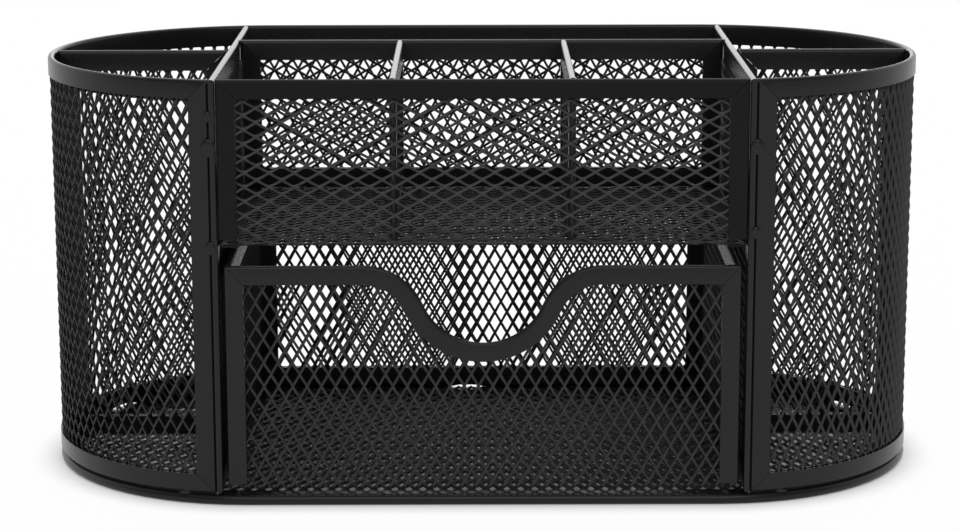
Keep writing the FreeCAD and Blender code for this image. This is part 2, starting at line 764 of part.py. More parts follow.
drawer_inner = laid.drawer_half_width - size.strip_height
drawer_front_low = laid.drawer_bottom + bend_outer
lip_arcs, lip_reach, lip_top = wave(size.strip_height, laid.drawer_top)
rim = polyline((-drawer_inner, drawer_front_low), (-drawer_inner, lip_top), (-lip_reach, lip_top))
rim += lip_arcs
rim += polyline((lip_reach, lip_top), (drawer_inner, lip_top), (drawer_inner, drawer_front_low))
rim += polyline((drawer_inner, drawer_front_low), (-drawer_inner, drawer_front_low))
drawer_window = Part.Face(Part.Wire([e.toShape() for e in rim]))
front_holes = openings("drawer_front_openings", drawer_window, front_place, FRONT_BLOCK_COUNTS, True)
floor_window = window_face(-drawer_inner, floor_front, drawer_inner, drawer_rear - size.strip_height)
drawer_floor_middle = laid.drawer_bottom + size.sheet_thickness / 2
floor_place = flat(0, 0, drawer_floor_middle)
floor_holes = openings("drawer_floor_openings", floor_window, floor_place, PANEL_BLOCK_COUNTS, True)
nodes.append(in_lengths("drawer_mesh", [
    cut("drawer_front", drawer_front_blank, front_holes),
    cut("drawer_floor_mesh", drawer_floor_blank, floor_holes),
]))

path = loose_sketch("drawer_front_strip_path", across(0, front_middle, 0))
wave_arcs, wave_reach, wave_top = wave(0.0, laid.drawer_top)
edges = polyline((-laid.drawer_half_width, drawer_front_low), (-laid.drawer_half_width, wave_top))
edges += polyline((-laid.drawer_half_width, wave_top), (-wave_reach, wave_top))
edges += wave_arcs
edges += polyline((wave_reach, wave_top), (laid.drawer_half_width, wave_top))
edges += polyline((laid.drawer_half_width, wave_top), (laid.drawer_half_width, drawer_front_low))
draw(path, edges)
dimension(path, "notch_radius", "Radius", (3,), "Sizes.notch_radius")
start = Vector(-laid.drawer_half_width, front_middle, drawer_front_low)
section = strip_section("drawer_front_strip_section", frame(X, Y * -1, start))
nodes.append(sweep("drawer_front_strip", section, path))

side_rear = drawer_rear - laid.strip_thickness
lay_out("drawer_side_length", side_rear - floor_front)
lay_out("drawer_side_height", laid.drawer_top - drawer_floor_top)
lay_out("drawer_width", 2 * laid.drawer_half_width)
side_middle = (floor_front + side_rear) / 2
for side_name, side in (("left", -1), ("right", 1)):
    nodes += framed_panel(
        side_name + "_drawer_side_mesh", side_name + "_drawer_side_frame",
        along(side * (laid.drawer_half_width - half_strip), side_middle, drawer_floor_top),
        laid.drawer_side_length, laid.drawer_side_height,
        "Layout.drawer_side_length", "Layout.drawer_side_height",
    )
nodes += framed_panel(
    "drawer_back_mesh", "drawer_back_frame", across(0, drawer_rear - half_strip, drawer_floor_top),
    laid.drawer_width, laid.drawer_side_height, "Layout.drawer_width", "Layout.drawer_side_height",
)

# Check everything, then write one file for each piece

doc.recompute()
for item in doc.Objects:
    if "Invalid" in item.State or "Error" in item.State:
        raise RuntimeError(f"{item.Label} did not compute: {item.State}")
for node in nodes:
    if node.Shape.isNull() or not node.Shape.isValid() or not node.Shape.Solids:
        raise RuntimeError(f"{node.Label} has no valid solid")
os.makedirs("parts", exist_ok=True)
for node in nodes:
    node.Shape.exportStep(f"parts/{node.Label}.step")
    print(node.Label, len(node.Shape.Solids), "solid,", round(node.Shape.Volume), "mm3")
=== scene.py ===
import math

import bmesh
import bpy
from mathutils import Matrix, Vector


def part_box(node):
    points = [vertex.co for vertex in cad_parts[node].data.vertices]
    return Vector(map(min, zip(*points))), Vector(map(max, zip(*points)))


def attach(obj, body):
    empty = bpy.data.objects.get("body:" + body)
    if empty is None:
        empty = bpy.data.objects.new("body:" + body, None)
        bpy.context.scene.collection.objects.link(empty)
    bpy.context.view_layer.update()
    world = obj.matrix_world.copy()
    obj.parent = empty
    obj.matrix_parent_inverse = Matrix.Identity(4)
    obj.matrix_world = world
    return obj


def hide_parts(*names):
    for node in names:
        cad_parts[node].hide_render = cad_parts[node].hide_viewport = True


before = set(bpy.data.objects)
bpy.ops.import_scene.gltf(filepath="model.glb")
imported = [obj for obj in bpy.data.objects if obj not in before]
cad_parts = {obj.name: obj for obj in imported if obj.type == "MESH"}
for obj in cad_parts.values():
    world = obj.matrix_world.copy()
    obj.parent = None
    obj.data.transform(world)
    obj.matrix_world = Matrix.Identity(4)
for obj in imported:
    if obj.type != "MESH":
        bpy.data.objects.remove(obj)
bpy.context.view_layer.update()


# Base edge. Sheet steel rolled over the rim of the floor mesh, a closed loop of straight sides and
# half-round ends that the whole stand rests on. It is bent from one strip and powder coated black.

X = Vector((1, 0, 0))
Y = Vector((0, 1, 0))
Z = Vector((0, 0, 1))
MM = 0.001


def alone(piece):
    """Selects one piece and nothing else."""
    if bpy.context.object and bpy.context.object.mode != "OBJECT":
        bpy.ops.object.mode_set(mode="OBJECT")
    bpy.ops.object.select_all(action="DESELECT")
    piece.select_set(True)
    bpy.context.view_layer.objects.active = piece


def added(name):
    """Names the primitive that was just added."""
    piece = bpy.context.active_object
    piece.name = name
    piece.data.name = name
    return piece


def pick(piece, kind, chosen):
    """Selects, in edit mode, the vertices, edges or faces that are chosen by their corners' places."""
    bpy.ops.object.mode_set(mode="EDIT")
    bpy.ops.mesh.select_mode(type=kind)
    bpy.ops.mesh.select_all(action="DESELECT")
    mesh = bmesh.from_edit_mesh(piece.data)
    parts = {"VERT": mesh.verts, "EDGE": mesh.edges, "FACE": mesh.faces}[kind]
    for part in parts:
        corners = [part.co] if kind == "VERT" else [corner.co for corner in part.verts]
        part.select_set(chosen(corners))
    bmesh.update_edit_mesh(piece.data)


def middle(corners):
    return sum(corners, Vector()) / len(corners)


def runs_along(axis, corners):
    """Whether an edge runs along an axis."""
    run = corners[1] - corners[0]
    return abs(abs(run[axis]) - run.length) < run.length * 1e-4


def settle(piece, right, up, origin):
    """Turns a flat piece so that its X and Y run right and up from the origin, and keeps that in its mesh."""
    out = right.cross(up)
    turn = Matrix((right, up, out)).transposed().to_4x4()
    alone(piece)
    piece.matrix_world = Matrix.Translation(origin) @ turn
    bpy.ops.object.transform_apply(location=True, rotation=True, scale=True)


def finish_modifier(piece, name):
    alone(piece)
    bpy.ops.object.modifier_apply(modifier=name)


def smooth(piece, angle):
    alone(piece)
    bpy.ops.object.shade_smooth_by_angle(angle=angle)


def arc_spots(centre, radius, start, sweep):
    """Spots along an arc, one for every few degrees, without the first."""
    steps = max(2, math.ceil(abs(sweep) / ARC_STEP))
    angles = [start + sweep * i / steps for i in range(1, steps + 1)]
    return [(centre[0] + radius * math.cos(a), centre[1] + radius * math.sin(a)) for a in angles]


def path_length(spots):
    return sum(math.dist(a, b) for a, b in zip(spots, spots[1:]))


def follow(piece, spots, closed=False):
    """Bends a straight piece to a flat path: its X runs along the path and its Y to the path's left."""
    guide = bpy.data.curves.new("guide", "CURVE")
    guide.dimensions = "2D"
    spline = guide.splines.new("POLY")
    spline.points.add(len(spots) - 1)
    for point, spot in zip(spline.points, spots):
        point.co = (*spot, 0, 1)
    spline.use_cyclic_u = closed
    line = bpy.data.objects.new("guide", guide)
    bpy.context.collection.objects.link(line)
    bend = piece.modifiers.new("bend", "CURVE")
    bend.object = line
    finish_modifier(piece, "bend")
    bpy.data.objects.remove(line)
    bpy.data.curves.remove(guide)


def linear(colour):
    """An sRGB hex colour as linear red, green, blue and alpha."""
    parts = [int(colour[i:i + 2], 16) / 255 for i in (1, 3, 5)]
    return (*[p / 12.92 if p <= 0.04045 else ((p + 0.055) / 1.055) ** 2.4 for p in parts], 1)


def add_node(tree, kind, inputs=None, links=None, **settings):
    """Adds a node with its settings, its inputs' values and its links from other nodes' outputs."""
    node = tree.nodes.new(kind)
    for name, value in settings.items():
        setattr(node, name, value)
    for name, value in (inputs or {}).items():
        node.inputs[name].default_value = value
    for name, output in (links or {}).items():
        tree.links.new(output, node.inputs[name])
    return node


def black_powder_coat(name, peel_height, blacks=("#121212", "#171718"), gloss=0.26, satins=(0.2, 0.32)):
    """Epoxy-polyester powder, sprayed dry and baked: it flows to a satin skin with a fine orange peel."""
    coat = bpy.data.materials.new(name)
    coat.use_nodes = True
    tree = coat.node_tree
    tree.nodes.clear()
    place = add_node(tree, "ShaderNodeTexCoord").outputs["Object"]
    # Film thickness drifts over a few centimetres, which shifts the black a little.
    drift = add_node(tree, "ShaderNodeTexNoise", {"Scale": 1 / (18 * MM), "Detail": 2.0}, {"Vector": place})
    black = add_node(
        tree, "ShaderNodeMix", {"A": linear(blacks[0]), "B": linear(blacks[1])},
        {"Factor": drift.outputs["Fac"]}, data_type="RGBA",
    )
    # Grains of powder, about a quarter of a millimetre, scatter the gloss.
    grain = add_node(tree, "ShaderNodeTexNoise", {"Scale": 1 / (0.25 * MM), "Detail": 3.0}, {"Vector": place})
    satin = add_node(
        tree, "ShaderNodeMapRange", {"To Min": satins[0], "To Max": satins[1]},
        {"Value": grain.outputs["Fac"]},
    )
    # The folded sheet is a little uneven over some 7 mm, and on it lies the orange peel: swells about
    # 0.9 mm apart, which mottle the gloss on tops that are seen at a low angle.
    uneven = add_node(tree, "ShaderNodeTexNoise", {"Scale": 1 / (7 * MM), "Detail": 1.0}, {"Vector": place})
    waves = add_node(
        tree, "ShaderNodeBump", {"Strength": 0.5, "Distance": 4 * peel_height},
        {"Height": uneven.outputs["Fac"]},
    )
    peel = add_node(tree, "ShaderNodeTexNoise", {"Scale": 1 / (0.9 * MM), "Detail": 2.0}, {"Vector": place})
    swells = add_node(
        tree, "ShaderNodeBump", {"Strength": 0.6, "Distance": peel_height},
        {"Height": peel.outputs["Fac"], "Normal": waves.outputs["Normal"]},
    )
    shader = add_node(
        tree, "ShaderNodeBsdfPrincipled", {"IOR": 1.5, "Specular IOR Level": gloss},
        {
            "Base Color": black.outputs["Result"], "Roughness": satin.outputs["Result"],
            "Normal": swells.outputs["Normal"],
        },
    )
    add_node(tree, "ShaderNodeOutputMaterial", links={"Surface": shader.outputs["BSDF"]})
    return coat


strip_coat = black_powder_coat("black_powder_coat_on_strip", 0.02 * MM)
# The mesh takes a lighter copy of the strip coat, with more gloss: its lighter black is painted light,
# standing in for the light that the thin, tilted strands catch.
lit_mesh_coat = black_powder_coat(
    "lit_black_powder_coat_on_mesh", 0.01 * MM, ("#1c1c1c", "#242425"), 0.34, (0.26, 0.42),
)


def finish(piece, coat, slot, body, *nodes):
    """Coats a finished piece, sets it on its body and lets it stand for its CAD nodes."""
    piece.data.materials.clear()
    piece.data.materials.append(coat)
    if nodes:
        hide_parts(*nodes)
    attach(piece, body)


ARC_STEP = math.radians(3)
STRIP_HEIGHT = 4.4 * MM
STRIP_WALL = 0.4 * MM
SLOT_DEPTH = 0.8 * MM
MITRE_GAP = 0.06 * MM
FOLD_SEGMENTS = 5


def folded_strip(name, length, thickness, mitres=(True, True), pieces=1, height=STRIP_HEIGHT):
    """A folded strip that lies flat: X along it, Y from the fold to the lips, Z through it."""
    bpy.ops.object.select_all(action="DESELECT")
    bpy.ops.mesh.primitive_cube_add(size=1, location=(length / 2, height / 2, 0))
    strip = added(name)
    strip.scale = (length, height, thickness)
    bpy.ops.object.transform_apply(location=True, rotation=True, scale=True)
    pick(strip, "EDGE", lambda c: runs_along(0, c) and middle(c).y < height / 2)
    bpy.ops.mesh.bevel(offset=thickness * 0.49, segments=FOLD_SEGMENTS, affect="EDGES")
    pick(strip, "FACE", lambda c: min(p.y for p in c) > height * 0.99)
    bpy.ops.mesh.inset(thickness=STRIP_WALL, use_even_offset=True)
    bpy.ops.mesh.extrude_region_move(TRANSFORM_OT_translate={"value": (0, -SLOT_DEPTH, 0)})
    if pieces > 1:
        pick(strip, "EDGE", lambda c: runs_along(0, c))
        bpy.ops.mesh.subdivide(number_cuts=pieces - 1)
    for cut_here, foot, lean in ((mitres[0], MITRE_GAP, 1), (mitres[1], length - MITRE_GAP, -1)):
        if cut_here:
            bpy.ops.mesh.select_all(action="SELECT")
            bpy.ops.mesh.bisect(
                plane_co=(foot, 0, 0), plane_no=(lean, -1, 0), use_fill=True, clear_inner=True,
            )
    bpy.ops.object.mode_set(mode="OBJECT")
    return strip


def place_strip(strip, corner, turns):
    """Turns a flat strip by quarter turns and sets its start on a corner."""
    turn = Matrix.Rotation(turns * math.pi / 2, 3, "Z")
    settle(strip, turn @ X, turn @ Y, Vector((*corner, 0)))
    return strip


def joined(name, pieces):
    """One piece made of several."""
    alone(pieces[0])
    for piece in pieces[1:]:
        piece.select_set(True)
    bpy.ops.object.join()
    return added(name)


rim_low, rim_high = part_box("base_rim")
rim_height = rim_high.z - rim_low.z
end_radius = rim_high.y
end_centre = rim_high.x - end_radius
RIM_PIECES = 240
# A dark groove shows between the rolled edge and the wall's foot, bridged by welds.
GROOVE = 0.5 * MM
rolled_height = rim_height - GROOVE


def stadium_spots(radius):
    """The plan of the stand as a closed path that runs clockwise, so that its left is outside."""
    left_end = arc_spots((-end_centre, 0), radius, -math.pi / 2, -math.pi)
    right_end = arc_spots((end_centre, 0), radius, math.pi / 2, -math.pi)
    return [(-end_centre, -radius)] + left_end + [(end_centre, radius)] + right_end


rim_spots = stadium_spots(end_radius)
rim_length = path_length(rim_spots + rim_spots[:1])
base_rim = folded_strip("rolled_base_edge", rim_length, rolled_height, (False, False), RIM_PIECES)
END_MARGIN = 0.01 * MM
pick(
    base_rim, "FACE",
    lambda c: max(p.x for p in c) < END_MARGIN or min(p.x for p in c) > rim_length - END_MARGIN,
)
bpy.ops.mesh.delete(type="FACE")
bpy.ops.object.mode_set(mode="OBJECT")
settle(base_rim, X, -Y, Vector((0, 0, rolled_height / 2)))
follow(base_rim, rim_spots, closed=True)
alone(base_rim)
bpy.ops.object.mode_set(mode="EDIT")
bpy.ops.mesh.select_all(action="SELECT")
bpy.ops.mesh.remove_doubles(threshold=0.02 * MM)
bpy.ops.mesh.normals_make_consistent(inside=False)
bpy.ops.object.mode_set(mode="OBJECT")
smooth(base_rim, math.radians(40))
finish(base_rim, strip_coat, "edge_strip", "stand", "base_rim")


# Floor mesh. Expanded steel: a sheet slit in staggered rows and pulled open, which leaves strands
# about half a millimetre wide and tilts each one. Its cut edge is caught in the rolled base edge.

LONG_PITCH = 5.7 * MM
SHORT_PITCH = 3.3 * MM
STRAND = 0.5 * MM
MESH_THICKNESS = 0.34 * MM
STRAND_TILT = 0.34 * MM
FLOOR_THICKNESS = 0.48 * MM


def expanded_sheet(name, width, height, upright, kept, short_pitch=SHORT_PITCH):
    """A flat sheet with X from 0 to width and Y from 0 to height, less what isn't kept."""
    half = Vector((short_pitch, LONG_PITCH, 0)) / 2
    if not upright:
        half = half.yxz
    bpy.ops.object.select_all(action="DESELECT")
    bpy.ops.mesh.primitive_circle_add(vertices=4, radius=1, fill_type="NGON")
    sheet = added(name)
    sheet.scale = (half.x, half.y, 1)
    bpy.ops.object.transform_apply(location=True, rotation=True, scale=True)
    pick(sheet, "FACE", lambda c: True)
    bpy.ops.mesh.inset(thickness=STRAND / 2, use_even_offset=True)
    bpy.ops.mesh.delete(type="FACE")
    across = 0 if upright else 1
    for side in (-1, 1):
        pick(sheet, "VERT", lambda c: half[across] * 0.4 < c[0][across] * side < half[across] * 0.98)
        bpy.ops.transform.translate(value=(0, 0, -side * STRAND_TILT))
    bpy.ops.object.mode_set(mode="OBJECT")
    for axis, size in ((0, width), (1, height)):
        array = sheet.modifiers.new("rows", "ARRAY")
        array.count = math.ceil(size / half[axis] / 2) + 1
        array.use_relative_offset = False
        array.use_constant_offset = True
        array.constant_offset_displace = [half[axis] * 2 * (i == axis) for i in range(3)]
        finish_modifier(sheet, "rows")
    alone(sheet)
    bpy.ops.object.mode_set(mode="EDIT")
    bpy.ops.mesh.select_all(action="SELECT")
    bpy.ops.mesh.duplicate_move(TRANSFORM_OT_translate={"value": (-half.x, -half.y, 0)})
    bpy.ops.mesh.select_all(action="SELECT")
    bpy.ops.mesh.remove_doubles(threshold=0.01 * MM)
    pick(sheet, "FACE", lambda c: not kept(middle(c)))
    bpy.ops.mesh.delete(type="FACE")
    bpy.ops.object.mode_set(mode="OBJECT")
    return sheet


def thicken(sheet, thickness=MESH_THICKNESS):
    """Gives a sheet of strands its thickness and soft, coated edges."""
    solid = sheet.modifiers.new("thickness", "SOLIDIFY")
    solid.thickness = thickness
    solid.offset = 0
    finish_modifier(sheet, "thickness")
    alone(sheet)
    bpy.ops.object.shade_smooth()


def within(width, height, margin):
    """A test for what lies inside a rectangle from 0, 0 less a margin."""
    return lambda spot: margin < spot.x < width - margin and margin < spot.y < height - margin


def caught_in_rim(spot):
    """Whether a spot of the floor lies inside the middle of the rolled edge."""
    beyond = max(abs(spot.x - rim_high.x) - end_centre, 0)
    return math.hypot(beyond, spot.y - end_radius) < end_radius - STRIP_HEIGHT / 2


floor = expanded_sheet("floor_mesh", 2 * rim_high.x, 2 * end_radius, True, caught_in_rim)
settle(floor, X, Y, Vector((-rim_high.x, -end_radius, rim_height / 2)))
thicken(floor, FLOOR_THICKNESS)
finish(floor, lit_mesh_coat, "mesh", "stand", "base_mesh")


# Outer wall. One long piece of expanded steel rolled round both ends and the back, with strips
# folded over its long edges and its two front edges, mitred where they meet and spot welded.

top_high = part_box("wall_top_rim")[1]
bottom_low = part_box("wall_bottom_strip")[0]
frame_low, frame_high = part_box("left_divider_frame")
STRIP_THICKNESS = frame_high.x - frame_low.x
WALL_SHORT_PITCH = 3.12 * MM
INNER_LEG_EXTRA = 0.8 * MM
wall_rim_lip = top_high.z - STRIP_HEIGHT
WALL_PIECES = 220
wall_radius = end_radius - STRIP_THICKNESS / 2
wall_height = top_high.z - bottom_low.z
frame_low, frame_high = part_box("right_divider_frame")
post_lean = math.asin((frame_high.x - end_centre) / wall_radius)

wall_spots = arc_spots((-end_centre, 0), wall_radius, -math.pi / 2 - post_lean, post_lean - math.pi)
wall_spots.insert(0, (-end_centre - wall_radius * math.sin(post_lean), -wall_radius * math.cos(post_lean)))
wall_spots += arc_spots((end_centre, 0), wall_radius, math.pi / 2, post_lean - math.pi)
wall_spots.insert(-len(wall_spots) // 2 + 1, (end_centre, wall_radius))
wall_length = path_length(wall_spots)

bottom_strip = folded_strip("wall_foot_strip", wall_length, STRIP_THICKNESS, pieces=WALL_PIECES)
right_post = folded_strip("right_front_edge_strip", wall_height, STRIP_THICKNESS)
top_strip = folded_strip("wall_rim_strip", wall_length, STRIP_THICKNESS, pieces=WALL_PIECES)
left_post = folded_strip("left_front_edge_strip", wall_height, STRIP_THICKNESS)
place_strip(bottom_strip, (0, 0), 0)
place_strip(right_post, (wall_length, 0), 1)
place_strip(top_strip, (wall_length, wall_height), 2)
place_strip(left_post, (0, wall_height), 3)
# The foot's inner side is pressed down on the base edge, but for three short places behind, where
# light shows through: in the middle of the back and in each rear pocket.
FOOT_PRESS = 0.75 * MM
end_length = wall_radius * (math.pi - post_lean)
FOOT_CHINKS = (
    (end_length - 51 * MM, end_length - 42 * MM),
    (end_length + end_centre - 9 * MM, end_length + end_centre - 1.5 * MM),
    (wall_length - end_length + 42 * MM, wall_length - end_length + 51 * MM),
)


def pressed_down(spot):
    """Whether a spot of the foot, laid out straight, is on the inner side of its fold and not in a chink."""
    in_chink = any(low < spot.x < high for low, high in FOOT_CHINKS)
    return spot.y < -0.1 * MM and spot.z < bottom_low.z + STRIP_THICKNESS / 2 and not in_chink


for strip, node in (
    (bottom_strip, "wall_bottom_strip"), (right_post, "right_post_strip"),
    (top_strip, "wall_top_rim"), (left_post, "left_post_strip"),
):
    settle(strip, X, Z, Vector((0, 0, bottom_low.z)))
    if strip is top_strip:
        # Its inner leg reaches lower than the outer one.
        pick(strip, "VERT", lambda c: c[0].y < 0 and abs(c[0].z - wall_rim_lip) < MM / 10)
        bpy.ops.transform.translate(value=(0, 0, -INNER_LEG_EXTRA))
        bpy.ops.object.mode_set(mode="OBJECT")
    if strip is bottom_strip:
        pick(strip, "VERT", lambda c: pressed_down(c[0]))
        bpy.ops.transform.translate(value=(0, 0, -FOOT_PRESS))
        bpy.ops.object.mode_set(mode="OBJECT")
    follow(strip, wall_spots)
    smooth(strip, math.radians(40))
    finish(strip, strip_coat, "edge_strip", "stand", node)

wall = expanded_sheet(
    "wall_mesh", wall_length, wall_height, True, within(wall_length, wall_height, STRIP_HEIGHT / 2),
    WALL_SHORT_PITCH,
)
settle(wall, X, Z, Vector((0, 0, bottom_low.z)))
follow(wall, wall_spots)
thicken(wall)
finish(wall, lit_mesh_coat, "mesh", "stand", "outer_wall_mesh")


# Dividers. Flat panels of the same mesh with a strip folded round all four edges, mitred at the
# corners. The long pair closes the middle off from the ends, and the short pair halves each end.

PANEL_STRIP_HEIGHT = 5.0 * MM


def strip_frame(name, width, height):
    """Four mitred strips round a rectangle that starts at 0, 0."""
    sides = ((width, (0, 0)), (height, (width, 0)), (width, (width, height)), (height, (0, height)))
    strips = []
    for turns, (length, corner) in enumerate(sides):
        strip = folded_strip(name + "_side", length, STRIP_THICKNESS, height=PANEL_STRIP_HEIGHT)
        strips.append(place_strip(strip, corner, turns))
    return joined(name, strips)


def framed_panel(panel, body, upright=True, shift=0.0):
    """The strips and the mesh of one flat panel, in the place of its two CAD nodes."""
    low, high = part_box(panel + "_frame")
    faces_front = high.x - low.x > high.y - low.y
    right = X if faces_front else Y
    width = (high - low) @ right
    height = high.z - low.z
    centre = (low + high) / 2
    origin = centre - right * width / 2
    origin.z = low.z
    strips = strip_frame(panel + "_strips", width, height)
    inside = within(width, height, STRIP_HEIGHT / 2)
    mesh = expanded_sheet(
        panel + "_sheet", width + shift, height, upright, lambda spot: inside(spot - Vector((shift, 0, 0))),
    )
    settle(strips, right, Z, origin)
    settle(mesh, right, Z, origin - right * shift)
    smooth(strips, math.radians(40))
    thicken(mesh)
    finish(strips, strip_coat, "edge_strip", body, panel + "_frame")
    finish(mesh, lit_mesh_coat, "mesh", body, panel + "_mesh")


for panel in ("left_divider", "right_divider"):
    framed_panel(panel, "stand")
# The short pair's openings stand half a pitch further along than the long pair's.
for panel in ("left_end_divider", "right_end_divider"):
    framed_panel(panel, "stand", shift=SHORT_PITCH / 2)


# Spot welds. Where the strips of two panels meet they are melted together, which leaves low, dished
# beads of steel under the powder. They sit on the front edges, at the tray's ends and on the base.

BEAD_SEGMENTS = 16
BEAD_DISH = 0.35
BEAD_PROUD = 0.1 * MM
BEAD_BELOW_TOP = 0.5 * MM
TRAY_BEAD = (1.3 * MM, 1.1 * MM, 0.46 * MM)
CORNER_BEAD = (0.9 * MM, 0.8 * MM, 0.46 * MM)
BASE_BEAD = (1.5 * MM, 0.5 * MM, 0.6 * MM)
BASE_BEAD_TURN = math.radians(17)


def weld_bead(at, radii):
    """A flattened bead with a dished crown, which faces the front."""
    bpy.ops.object.select_all(action="DESELECT")
    bpy.ops.mesh.primitive_uv_sphere_add(segments=BEAD_SEGMENTS, ring_count=BEAD_SEGMENTS // 2, radius=1)
    bead = added("weld_bead")
    bead.rotation_euler.x = math.pi / 2
    bpy.ops.object.transform_apply(rotation=True)
    pick(bead, "VERT", lambda c: c[0].y < -0.9)
    bpy.ops.transform.translate(value=(0, BEAD_DISH, 0))
    bpy.ops.object.mode_set(mode="OBJECT")
    bead.scale = radii
    bead.location = at
    bpy.ops.object.transform_apply(location=True, rotation=True, scale=True)
    bpy.ops.object.shade_smooth()
    return bead


FRONT_BEADS = ((-1, 91.6 * MM, 1.3 * MM), (-1, 84.4 * MM, 2.2 * MM), (-1, 61.2 * MM, 1.6 * MM))
FRONT_BEADS += ((1, 84.4 * MM, 1.9 * MM), (1, 64.6 * MM, 1.5 * MM))
front_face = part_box("left_divider_frame")[0].y
tray_back_at = sum(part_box("tray_back_frame"), Vector()) / 2
beads = []
for side, height, radius in FRONT_BEADS:
    at = (side * (frame_high.x + BEAD_PROUD), front_face + BEAD_PROUD, height)
    beads.append(weld_bead(at, (radius * 0.8, 0.45 * MM, radius)))
for side in (-1, 1):
    at = (side * frame_high.x * 0.975, tray_back_at.y, top_high.z - BEAD_BELOW_TOP)
    beads.append(weld_bead(at, TRAY_BEAD))
    at = (side * frame_high.x, front_face + CORNER_BEAD[1], top_high.z - BEAD_BELOW_TOP)
    beads.append(weld_bead(at, CORNER_BEAD))
    reach = end_radius - BASE_BEAD[1]
    out, back = reach * math.sin(BASE_BEAD_TURN), reach * math.cos(BASE_BEAD_TURN)
    beads.append(weld_bead((side * (end_centre + out), -back, rim_height - GROOVE / 2), BASE_BEAD))
finish(joined("weld_beads", beads), strip_coat, "edge_strip", "stand")


# Tray. One sheet of mesh bent back at the bottom of its front into a floor, with the long way of
# its diamonds level. Strips close its front and its floor, and three panels stand in it.

SHEET_THICKNESS = 0.6 * MM
BEND_RADIUS = 1.5 * MM
BEND_CUTS = 2


def bent_sheet(name, box, strip_box, upright, kept, body, *nodes):
    """A sheet that runs down a front, round a bend and back along a floor."""
    low, high = box
    width = high.x - low.x
    face = (strip_box[0].y + strip_box[1].y) / 2
    floor_level = low.z + SHEET_THICKNESS / 2
    top = strip_box[1].z
    drop = top - floor_level - BEND_RADIUS
    spots = [(face, top), (face, floor_level + BEND_RADIUS)]
    spots += arc_spots((face + BEND_RADIUS, floor_level + BEND_RADIUS), BEND_RADIUS, math.pi, math.pi / 2)
    spots.append((high.y, floor_level))
    length = path_length(spots)
    sheet = expanded_sheet(name, length, width, upright, lambda spot: kept(spot, drop, length, width))
    bend = drop + BEND_RADIUS * math.pi / 4
    pick(sheet, "FACE", lambda c: abs(middle(c).x - bend) < LONG_PITCH / 2)
    bpy.ops.mesh.subdivide(number_cuts=BEND_CUTS)
    bpy.ops.object.mode_set(mode="OBJECT")
    settle(sheet, X, Z, Vector())
    follow(sheet, spots)
    settle(sheet, Y, Z, Vector((low.x, 0, 0)))
    thicken(sheet)
    finish(sheet, lit_mesh_coat, "mesh", body, *nodes)
    return sheet


def kept_of_tray(spot, drop, length, width):
    """The tray's sheet ends in its strips at the top, the back and both sides."""
    margin = STRIP_HEIGHT / 2
    return margin < spot.x < length - margin and margin / 2 < spot.y < width - margin / 2


front_strip_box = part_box("tray_front_strip")
bent_sheet("tray_sheet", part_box("tray_mesh"), front_strip_box, True, kept_of_tray, "stand", "tray_mesh")


# The tray's strips take a darker, less glossy copy of the strip coat: its darker black is painted shade on
# the tray's band.
shaded_tray_coat = black_powder_coat(
    "shaded_dull_powder_coat_on_tray_strip", 0.02 * MM, ("#0d0d0d", "#111111"), 0.14, (0.36, 0.5),
)


def open_frame(name, width, height, body, node, right, up, origin):
    """Strips on three sides of a rectangle: the two uprights end square at the fourth side."""
    strips = [
        place_strip(folded_strip(name, height, STRIP_THICKNESS, (False, True)), (width, 0), 1),
        place_strip(folded_strip(name, width, STRIP_THICKNESS), (width, height), 2),
        place_strip(folded_strip(name, height, STRIP_THICKNESS, (True, False)), (0, height), 3),
    ]
    piece = joined(name, strips)
    settle(piece, right, up, origin)
    smooth(piece, math.radians(40))
    finish(piece, shaded_tray_coat, "edge_strip", body, node)


low, high = front_strip_box
open_frame(
    "tray_front_edging", high.x - low.x, high.z - low.z, "stand", "tray_front_strip",
    X, Z, Vector((low.x, (low.y + high.y) / 2, low.z)),
)
low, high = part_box("tray_floor_strip")
open_frame(
    "tray_floor_edging", high.x - low.x, high.y - low.y, "stand", "tray_floor_strip",
    X, Y, Vector((low.x, low.y, (low.z + high.z) / 2)),
)
framed_panel("tray_back", "stand", upright=False)
for panel in ("left_tray_divider", "right_tray_divider"):
    framed_panel(panel, "stand")


# Drawer. A second bent sheet, its diamonds upright, between two side panels and a back panel. The
# strip on its front dips in a wave of equal arcs, which leaves a notch for a finger.

NOTCH_DEPTH = 18.2 * MM
NOTCH_RADIUS = 15 * MM
WAVE_PIECES = 120
notch_turn = math.acos(1 - NOTCH_DEPTH / 2 / NOTCH_RADIUS)
notch_reach = 2 * NOTCH_RADIUS * math.sin(notch_turn)


def wave_depth(x, inset):
    """How far below the drawer's top the wave lies at x, moved down into the sheet by an inset."""
    upper = NOTCH_RADIUS - inset
    lower = NOTCH_RADIUS + inset
    if abs(x) < lower * math.sin(notch_turn):
        return NOTCH_DEPTH - NOTCH_RADIUS + math.sqrt(lower ** 2 - x ** 2)
    if abs(x) < notch_reach:
        return NOTCH_RADIUS - math.sqrt(upper ** 2 - (notch_reach - abs(x)) ** 2)
    return inset


def kept_of_drawer(spot, drop, length, width):
    """The drawer's sheet ends in its wavy strip, and in the strips at the back and both sides."""
    margin = STRIP_HEIGHT / 2
    from_middle = spot.y - width / 2
    in_strips = spot.x < length - margin and abs(from_middle) < width / 2 - margin / 2
    return in_strips and spot.x > wave_depth(from_middle, margin)


drawer_strip_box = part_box("drawer_front_strip")
bent_sheet(
    "drawer_sheet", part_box("drawer_mesh"), drawer_strip_box, False, kept_of_drawer, "drawer", "drawer_mesh",
)

